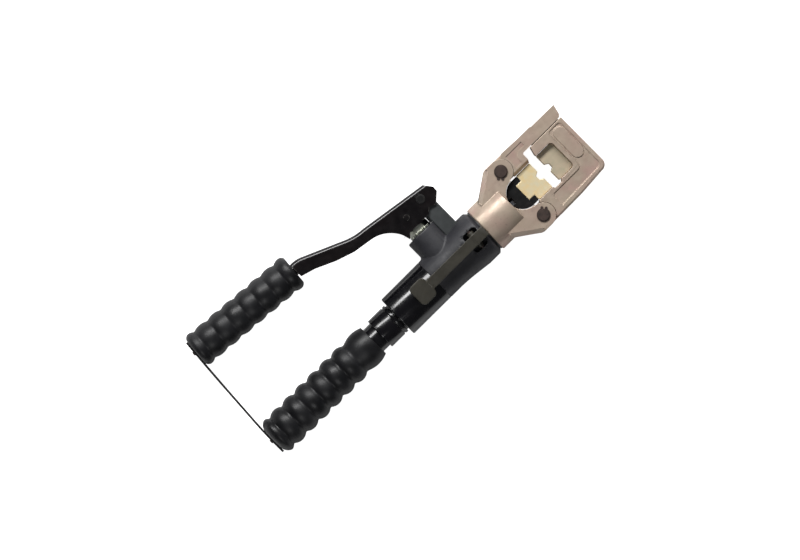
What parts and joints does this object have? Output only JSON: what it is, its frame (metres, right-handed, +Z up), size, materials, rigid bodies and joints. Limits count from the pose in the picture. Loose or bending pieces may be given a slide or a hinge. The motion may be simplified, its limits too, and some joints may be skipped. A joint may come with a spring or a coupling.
{
  "type": "hydraulic crimping tool",
  "caption": "Hand-operated hydraulic crimping tool: ringed grip, pump body, cranked pump lever with keeper strap, release lever, and a hinged, latched die head with hexagon dies.",
  "frame": {"origin": "middle of the box around the tool lying on its side, at the level of the flat under the pump body", "axes": "+X from the main grip to the die head, +Y towards the pump lever, +Z up, towards the release lever"},
  "size_m": [0.4378, 0.1781, 0.0618],
  "materials": {
    "rubber_grip": "matte moulded rubber",
    "rubber_strap": "matte rubber",
    "rubber_seal": "smooth rubber",
    "black_gloss": "gloss black enamel",
    "lever_black": "gloss black enamel",
    "body_casting": "semi-matte charcoal",
    "bracket_grey": "grey phosphated",
    "zinc_plate": "zinc plated",
    "release_olive": "dark phosphate",
    "head_bronze": "satin bronze paint",
    "pin_dark": "black oxide",
    "holder_black": "black oxide",
    "steel_bright": "ground steel",
    "steel_spring": "spring steel",
    "die_gold": "yellow chromate",
    "die_beige": "worn chromate",
    "tube_steel": "drawn steel"
  },
  "bodies": {
    "root": {"head_frame": "head_bronze", "yoke_pin": "pin_dark", "latch_pin": "pin_dark", "pin_clips": "pin_dark", "head_seal_ring": "rubber_seal", "head_lock_screw": "pin_dark", "pump_body": "body_casting", "lever_bracket": "bracket_grey", "lever_pivot_pin": "holder_black", "lever_pin_clips": "holder_black", "gland_nut": "zinc_plate", "plunger_seal": "rubber_seal", "suction_seat": "zinc_plate", "suction_ball": "steel_bright", "suction_spring": "steel_spring", "discharge_ball": "steel_bright", "discharge_spring": "steel_spring", "discharge_plug": "zinc_plate", "relief_ball": "steel_bright", "relief_spring": "steel_spring", "relief_screw": "zinc_plate", "release_spring": "steel_spring", "release_plug": "pin_dark", "release_pivot_pin": "pin_dark", "reservoir_cover": "black_gloss", "oil_bladder": "rubber_seal", "bladder_clip": "steel_bright", "oil_filler_plug": "zinc_plate", "tube_collar": "black_gloss", "handle_tube": "black_gloss", "handle_end_plug": "tube_steel", "main_grip": "rubber_grip", "strap_screw": "pin_dark", "keeper_strap": "rubber_strap", "ram_return_spring": "steel_spring"},
    "pump_lever": {"pump_lever": "lever_black", "plunger_link_pin": "lever_black", "lever_grip": "rubber_grip", "strap_stud": "pin_dark"},
    "plunger": {"pump_plunger": "steel_bright"},
    "ram": {"ram": "steel_bright", "ram_seal": "rubber_seal", "die_holder": "holder_black", "holder_screw": "pin_dark", "lower_die": "die_gold"},
    "release_lever": {"release_lever": "release_olive"},
    "release_valve": {"release_pin": "steel_bright", "release_ball": "steel_bright"},
    "yoke": {"yoke": "head_bronze", "upper_die": "die_beige", "upper_die_detent": "pin_dark"},
    "latch": {"latch": "head_bronze", "latch_spring": "steel_spring"}
  },
  "joints": [
    {"name": "lever", "type": "hinge", "parent": "root", "child": "pump_lever", "pos_m": [0.0585, 0.0216, 0.0266], "axis": [0, 0, -1], "range_deg": [-2, 30], "deforming": ["keeper_strap"]},
    {"name": "plunger", "type": "slide", "parent": "root", "child": "plunger", "axis": [0, 1, 0], "range_m": [-0.0009, 0.0122]},
    {"name": "ram", "type": "slide", "parent": "root", "child": "ram", "axis": [1, 0, 0], "range_m": [0, 0.0095], "deforming": ["ram_return_spring"]},
    {"name": "release_lever", "type": "hinge", "parent": "root", "child": "release_lever", "pos_m": [0.0691, -0.0461, 0.0486], "axis": [0, -1, 0], "range_deg": [0, 4.5], "stiffness_Nm_per_rad": 2, "springref_deg": -5.73, "deforming": ["release_spring"]},
    {"name": "release_valve", "type": "slide", "parent": "root", "child": "release_valve", "axis": [0, 0, -1], "range_m": [0, 0.00104]},
    {"name": "yoke", "type": "hinge", "parent": "root", "child": "yoke", "pos_m": [0.1345, -0.0764, 0.0266], "axis": [0, 0, -1], "range_deg": [0, 45]},
    {"name": "latch", "type": "hinge", "parent": "root", "child": "latch", "pos_m": [0.1345, -0.0158, 0.0266], "axis": [0, 0, 1], "range_deg": [0, 22.5]}
  ],
  "couplings": [
    {"joint": "plunger", "follows": "lever", "m_per_rad": 0.0231},
    {"joint": "release_valve", "follows": "release_lever", "m_per_rad": 0.0131},
    {"joint": "latch", "follows": "yoke", "ratio": 0.5}
  ]
}
